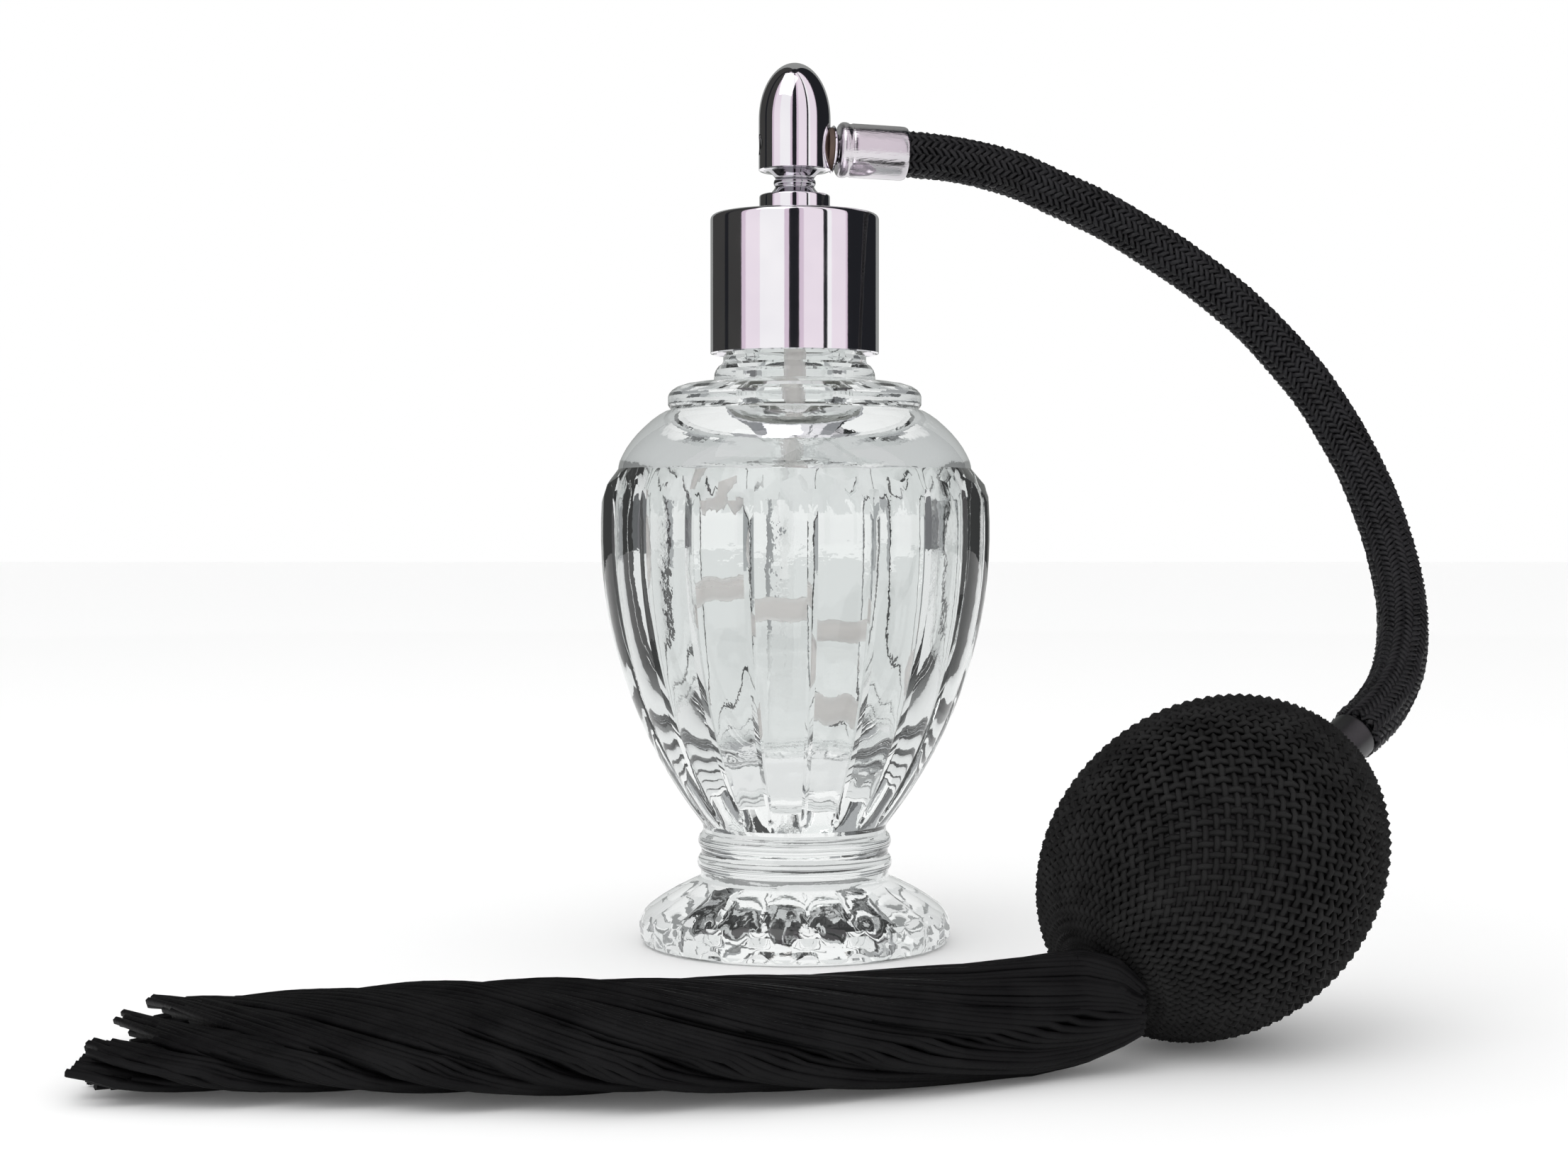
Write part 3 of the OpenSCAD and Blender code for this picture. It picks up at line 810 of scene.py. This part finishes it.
def makeGrainGroup():
    # fine uneven grain: a height for bump and a value for roughness
    group = bpy.data.node_groups.new("fineGrain", "ShaderNodeTree")
    face = group.interface
    for label, value in (("Scale", 400.0), ("Rough low", 0.2), ("Rough high", 0.4), ("Stretch", 1.0)):
        socket = face.new_socket(name=label, in_out="INPUT", socket_type="NodeSocketFloat")
        socket.default_value = value
    face.new_socket(name="Height", in_out="OUTPUT", socket_type="NodeSocketFloat")
    face.new_socket(name="Roughness", in_out="OUTPUT", socket_type="NodeSocketFloat")
    face.new_socket(name="Mask", in_out="OUTPUT", socket_type="NodeSocketFloat")
    nodes, links = group.nodes, group.links
    inlet = nodes.new("NodeGroupInput")
    outlet = nodes.new("NodeGroupOutput")
    place = nodes.new("ShaderNodeTexCoord")
    join = nodes.new("ShaderNodeCombineXYZ")
    join.inputs["X"].default_value = 1
    join.inputs["Y"].default_value = 1
    scaleUp = nodes.new("ShaderNodeVectorMath")
    scaleUp.operation = "MULTIPLY"
    noise = nodes.new("ShaderNodeTexNoise")
    noise.inputs["Detail"].default_value = 4
    blotch = nodes.new("ShaderNodeTexNoise")
    blotch.inputs["Detail"].default_value = 2
    slower = nodes.new("ShaderNodeMath")
    slower.operation = "MULTIPLY"
    slower.inputs[1].default_value = 0.12
    span = nodes.new("ShaderNodeMapRange")
    span.inputs["From Min"].default_value = 0.3
    span.inputs["From Max"].default_value = 0.7
    links.new(inlet.outputs["Stretch"], join.inputs["Z"])
    links.new(place.outputs["Object"], scaleUp.inputs[0])
    links.new(join.outputs["Vector"], scaleUp.inputs[1])
    links.new(scaleUp.outputs["Vector"], noise.inputs["Vector"])
    links.new(scaleUp.outputs["Vector"], blotch.inputs["Vector"])
    links.new(inlet.outputs["Scale"], noise.inputs["Scale"])
    links.new(inlet.outputs["Scale"], slower.inputs[0])
    links.new(slower.outputs["Value"], blotch.inputs["Scale"])
    links.new(blotch.outputs["Fac"], span.inputs["Value"])
    links.new(inlet.outputs["Rough low"], span.inputs["To Min"])
    links.new(inlet.outputs["Rough high"], span.inputs["To Max"])
    links.new(noise.outputs["Fac"], outlet.inputs["Height"])
    links.new(span.outputs["Result"], outlet.inputs["Roughness"])
    links.new(blotch.outputs["Fac"], outlet.inputs["Mask"])
    return group


grainGroup = makeGrainGroup()


def addGrain(nodes, links, shader, scale, low, high, bump, distance=0.0001, stretch=1.0):
    grain = nodes.new("ShaderNodeGroup")
    grain.node_tree = grainGroup
    grain.inputs["Scale"].default_value = scale
    grain.inputs["Rough low"].default_value = low
    grain.inputs["Rough high"].default_value = high
    grain.inputs["Stretch"].default_value = stretch
    links.new(grain.outputs["Roughness"], shader.inputs["Roughness"])
    if bump:
        bumpNode = nodes.new("ShaderNodeBump")
        bumpNode.inputs["Strength"].default_value = bump
        bumpNode.inputs["Distance"].default_value = distance
        links.new(grain.outputs["Height"], bumpNode.inputs["Height"])
        links.new(bumpNode.outputs["Normal"], shader.inputs["Normal"])
    return grain


def mixColours(nodes, links, mask, first, second):
    ramp = nodes.new("ShaderNodeValToRGB")
    ramp.color_ramp.elements[0].position = 0.35
    ramp.color_ramp.elements[1].position = 0.65
    ramp.color_ramp.elements[0].color = (*first, 1)
    ramp.color_ramp.elements[1].color = (*second, 1)
    links.new(mask, ramp.inputs["Fac"])
    return ramp.outputs["Color"]


def glassMaterial():
    material, nodes, links, shader = newMaterial("pressedGlass")
    shader.inputs["Base Color"].default_value = (0.93, 0.947, 0.942, 1)
    shader.inputs["Transmission Weight"].default_value = 1
    shader.inputs["IOR"].default_value = 1.5
    shader.inputs["Specular IOR Level"].default_value = 0.5
    addGrain(nodes, links, shader, 260, 0.0, 0.02, 0.08, 0.0004)
    # painted light and shade: rays that have bounced inside the glass past the depth limit end on a glow
    # set by height, pale in the foot and shoulder, dark along the ribs
    place = nodes.new("ShaderNodeTexCoord")
    height = nodes.new("ShaderNodeSeparateXYZ")
    share = nodes.new("ShaderNodeMapRange")
    share.inputs["From Max"].default_value = 0.088
    tones = nodes.new("ShaderNodeValToRGB")
    tones.color_ramp.elements[0].color = (0.3, 0.31, 0.31, 1)
    tones.color_ramp.elements[1].color = (0.6, 0.61, 0.61, 1)
    for position, tone in ((0.09, 0.34), (0.2, 0.3), (0.36, 0.05), (0.64, 0.04), (0.69, 0.5), (0.76, 0.6)):
        tones.color_ramp.elements.new(position).color = (tone, tone * 1.03, tone * 1.03, 1)
    paintedGlow = glow(nodes, (1, 1, 1))
    links.new(place.outputs["Object"], height.inputs["Vector"])
    links.new(height.outputs["Z"], share.inputs["Value"])
    links.new(share.outputs["Result"], tones.inputs["Fac"])
    links.new(tones.outputs["Color"], paintedGlow.inputs["Color"])
    # past the glossy depth limit the glass shows the painted glow instead of its own shading
    switchByPath(material, "Glossy Depth", 2.5, shader, paintedGlow)
    return material


def tint(nodes, links, shader, grain, dark, light):
    # an uneven base colour between two close tones
    links.new(mixColours(nodes, links, grain.outputs["Mask"], dark, light), shader.inputs["Base Color"])


def chromeMaterial(name, dark, light):
    material, nodes, links, shader = newMaterial(name)
    shader.inputs["Metallic"].default_value = 1
    grain = addGrain(nodes, links, shader, 900, 0.035, 0.09, 0.04, 0.00005)
    tint(nodes, links, shader, grain, dark, light)
    return material


def satinMaterial(name, dark, light, low, high):
    material, nodes, links, shader = newMaterial(name)
    shader.inputs["Metallic"].default_value = 1
    grain = addGrain(nodes, links, shader, 1500, low, high, 0.15, 0.0001, 0.2)
    tint(nodes, links, shader, grain, dark, light)
    return material


def plasticMaterial(name, dark, light, low=0.35, high=0.5):
    material, nodes, links, shader = newMaterial(name)
    grain = addGrain(nodes, links, shader, 1200, low, high, 0.1, 0.0001)
    tint(nodes, links, shader, grain, dark, light)
    return material


def tubeMaterial():
    material, nodes, links, shader = newMaterial("milkyTube")
    shader.inputs["Transmission Weight"].default_value = 0.75
    shader.inputs["IOR"].default_value = 1.3
    # a faint glow is painted light, so that the milky tube looks lit from within
    shader.inputs["Emission Color"].default_value = (0.9, 0.87, 0.86, 1)
    shader.inputs["Emission Strength"].default_value = 0.08
    grain = addGrain(nodes, links, shader, 500, 0.25, 0.35, 0.05)
    tint(nodes, links, shader, grain, (0.85, 0.83, 0.82), (0.92, 0.9, 0.89))
    return material


def yarnMaterial(name, dark, light, low, high, shine, scale):
    material, nodes, links, shader = newMaterial(name)
    shader.inputs["Specular IOR Level"].default_value = shine
    grain = addGrain(nodes, links, shader, scale, low, high, 0.5, 0.00015)
    tint(nodes, links, shader, grain, dark, light)
    return material


finishes = {
    "clear_glass": glassMaterial(),
    "bright_chrome": chromeMaterial("brightPlating", (0.83, 0.81, 0.85), (0.9, 0.88, 0.91)),
    "grey_metal": satinMaterial("satinMetal", (0.3, 0.31, 0.33), (0.4, 0.41, 0.43), 0.28, 0.42),
    "white_liner": plasticMaterial("naturalMoulding", (0.86, 0.85, 0.81), (0.92, 0.91, 0.87)),
    "soft_seal": plasticMaterial("softSeal", (0.6, 0.6, 0.57), (0.7, 0.7, 0.67), 0.5, 0.7),
    "milky_tube": tubeMaterial(),
    "black_rubber": plasticMaterial("blackRubber", (0.004, 0.004, 0.004), (0.009, 0.009, 0.01), 0.5, 0.7),
    "fibre_washer": plasticMaterial("brownFibre", (0.09, 0.055, 0.04), (0.14, 0.085, 0.06), 0.6, 0.8),
    "black_braid": yarnMaterial(
        "braidYarn", (0.007, 0.007, 0.008), (0.014, 0.014, 0.016), 0.38, 0.55, 0.28, 2500),
    "black_net": yarnMaterial(
        "netYarn", (0.01, 0.01, 0.01), (0.019, 0.019, 0.019), 0.6, 0.8, 0.12, 2500),
    "black_strands": yarnMaterial(
        "tasselYarn", (0.004, 0.004, 0.0045), (0.008, 0.008, 0.0085), 0.5, 0.65, 0.1, 1800),
}

darkSatin = satinMaterial("darkSatin", (0.06, 0.06, 0.062), (0.1, 0.1, 0.102), 0.3, 0.45)
blackened = satinMaterial("blackenedMetal", (0.004, 0.004, 0.004), (0.008, 0.008, 0.008), 0.5, 0.6)


def ferruleMaterial():
    # plated like the head, with fine scratches along the hose
    material, nodes, links, shader = newMaterial("scratchedPlating")
    shader.inputs["Metallic"].default_value = 1
    place = nodes.new("ShaderNodeTexCoord")
    along = nodes.new("ShaderNodeMapping")
    along.inputs["Rotation"].default_value = (0, 0, math.radians(-10))
    along.inputs["Scale"].default_value = (0.06, 1, 1)
    scratch = nodes.new("ShaderNodeTexNoise")
    scratch.inputs["Scale"].default_value = 5200
    scratch.inputs["Detail"].default_value = 3
    links.new(place.outputs["Object"], along.inputs["Vector"])
    links.new(along.outputs["Vector"], scratch.inputs["Vector"])
    grain = addGrain(nodes, links, shader, 700, 0.08, 0.2, 0)
    bump = nodes.new("ShaderNodeBump")
    bump.inputs["Strength"].default_value = 0.5
    bump.inputs["Distance"].default_value = 0.00006
    links.new(scratch.outputs["Fac"], bump.inputs["Height"])
    links.new(bump.outputs["Normal"], shader.inputs["Normal"])
    tint(nodes, links, shader, grain, (0.58, 0.56, 0.59), (0.72, 0.69, 0.72))
    return material


def paint(piece, material):
    piece.data.materials.clear()
    piece.data.materials.append(material)


nodeSlots = {row["node"]: row["material_slot"] for row in frame["record"]["subparts"]}
for name, node in frame["nodes"].items():
    paint(node, finishes[nodeSlots[name]])
newPieces = [
    collarShell, stemDisc, waistStem, headShell, sideFitting, hoseFerrule, hoseBraid, glassBottle, dipTube,
    sprayNozzle, rubberBulb, bulbNet, bulbSleeve, tasselStrands, tasselRoot, tasselBinding,
]
for piece in newPieces:
    paint(piece, finishes[piece["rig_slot"]])

# pieces that look a little different from the rest of their kind
paint(bulbSleeve, darkSatin)
paint(sprayNozzle, darkSatin)
paint(hoseFerrule, ferruleMaterial())
# the stem's plating is painted darker than the other chrome: painted shade for the dark reflections along
# its hollow waist
paint(waistStem, chromeMaterial("paintedShadePlating", (0.4, 0.39, 0.42), (0.5, 0.49, 0.52)))
for name in ("inlet_valve_body", "inlet_valve_cage"):
    paint(frame["nodes"][name], blackened)
print("materials made")

# ---- studio: pale floor, soft light, cards that only reflections or the glass see ----

studioSettings = {
    "world": 1.0,
    "key": 1.2,
    "cardDistance": 0.9,
    "cardLow": -0.2,
    "cardHigh": 6,
    "glassCardHigh": 1.2,
    "cardStep": 12,         # degrees that one flat of a curved card spans
    "throughGlass": 0.5,    # transmission depth past which a ray has been through the glass
}


def emissive(name, colour, through=None):
    # through is the tone that the glass passes on, where it differs
    material, nodes, links, shader = newMaterial(name)
    nodes.remove(shader)
    light = glow(nodes, colour)
    if through is None:
        links.new(light.outputs["Emission"], nodes["Material Output"].inputs["Surface"])
    else:
        limit = studioSettings["throughGlass"]
        switchByPath(material, "Transmission Depth", limit, light, glow(nodes, through))
    return material


def makeFloor():
    deselectAll()
    bpy.ops.mesh.primitive_plane_add(size=6)
    floor = bpy.context.active_object
    floor.name = "floor"
    material, nodes, links, shader = newMaterial("paleFloor")
    shader.inputs["Base Color"].default_value = (0.93, 0.93, 0.93, 1)
    shader.inputs["Roughness"].default_value = 0.7
    shader.inputs["Specular IOR Level"].default_value = 0.1
    shader.inputs["Emission Color"].default_value = (1, 1, 1, 1)
    shader.inputs["Emission Strength"].default_value = 0.06
    # no light gets to the floor through the glass, so what the glass shows of it glows
    lit = glow(nodes, (0.8, 0.81, 0.81))
    switchByPath(material, "Transmission Depth", studioSettings["throughGlass"], shader, lit)
    floor.data.materials.append(material)


def makeCard(name, start, end, material, behindGlass=False):
    # an upright card that spans two bearings, seen from the bottle; 0 is towards the camera
    # it shows in the metal, or if behindGlass in the glass alone
    s = studioSettings
    distance = s["cardDistance"] + (0.1 if behindGlass else 0)
    high = s["glassCardHigh"] if behindGlass else s["cardHigh"]
    count = max(1, round(abs(end - start) / s["cardStep"]))
    turns = [math.radians(start + (end - start) * i / count) for i in range(count + 1)]
    places = [Vector((math.sin(a), -math.cos(a), 0)) * distance for a in turns]
    card = drawOutline(name, [(0, s["cardLow"] / mm), (0, high / mm)])
    bpy.ops.mesh.select_all(action="SELECT")
    bpy.ops.transform.translate(value=places[0])
    for here, there in zip(places, places[1:]):
        bpy.ops.mesh.extrude_region_move(TRANSFORM_OT_translate={"value": there - here})
    bpy.ops.object.mode_set(mode="OBJECT")
    card.data.materials.append(material)
    card.visible_camera = False
    card.visible_shadow = False
    card.visible_diffuse = False
    card.visible_glossy = not behindGlass
    card.visible_transmission = behindGlass


def makeStudio():
    s = studioSettings
    world = bpy.data.worlds.new("world")
    world.use_nodes = True
    sky = world.node_tree.nodes["Background"]
    sky.inputs["Color"].default_value = (1, 1, 1, 1)
    sky.inputs["Strength"].default_value = s["world"]
    bpy.context.scene.world = world
    tones = {
        "black": emissive("flagBlack", (0.016, 0.017, 0.02), (0.3, 0.31, 0.32)),
        "dark": emissive("flagDark", (0.05, 0.05, 0.048), (0.3, 0.31, 0.32)),
        "grey": emissive("flagGrey", (0.3, 0.31, 0.3), (0.6, 0.61, 0.61)),
        "lilac": emissive("softLilac", (0.72, 0.6, 0.7), (0.9, 0.9, 0.92)),
        "pale": emissive("softPale", (0.92, 0.84, 0.9), (0.95, 0.95, 0.96)),
        "white": emissive("softWhite", (1, 1, 1)),
        "shade": emissive("glassShade", (0.13, 0.135, 0.14)),
        "halfShade": emissive("glassHalfShade", (0.4, 0.41, 0.42)),
    }
    # bearings of the bright and dark uprights that stand round the set
    uprights = [
        (-180, -150, "grey"), (-150, -110, "dark"), (-110, -102, "black"), (-102, -77, "dark"),
        (-77, -70, "lilac"), (-70, -48, "pale"), (-48, -14, "white"), (-14, -7.7, "lilac"),
        (-7.7, 5.8, "black"), (5.8, 12, "lilac"), (12, 39, "pale"), (39, 44.5, "black"),
        (44.5, 51, "white"), (51, 73, "pale"), (73, 76, "lilac"), (76, 146, "black"),
        (146, 180, "grey"),
    ]
    for i, (start, end, tone) in enumerate(uprights):
        makeCard("upright" + str(i), start, end, tones[tone])
    # what darkens the sides of the glass
    shades = [
        (-132, -70, "shade"), (70, 132, "shade"), (-150, -132, "halfShade"), (132, 150, "halfShade"),
        (-70, 70, "halfShade"),
    ]
    for i, (start, end, tone) in enumerate(shades):
        makeCard("behindGlass" + str(i), start, end, tones[tone], behindGlass=True)
    deselectAll()
    bpy.ops.mesh.primitive_plane_add(size=14, location=(0, 4, 6.1))
    canopy = bpy.context.active_object
    canopy.name = "canopy"
    canopy.data.materials.append(tones["black"])
    canopy.visible_camera = canopy.visible_shadow = canopy.visible_diffuse = False
    canopy.visible_transmission = False
    data = bpy.data.lights.new("keyLight", "AREA")
    data.energy = s["key"]
    data.size = 0.6
    key = bpy.data.objects.new("keyLight", data)
    bpy.context.scene.collection.objects.link(key)
    key.location = (-0.25, -0.35, 0.75)
    key.rotation_euler = (Vector((0, 0, 0.04)) - key.location).to_track_quat("-Z", "Y").to_euler()
    bpy.context.scene.view_settings.view_transform = "Standard"


makeFloor()
makeStudio()
print("studio made")
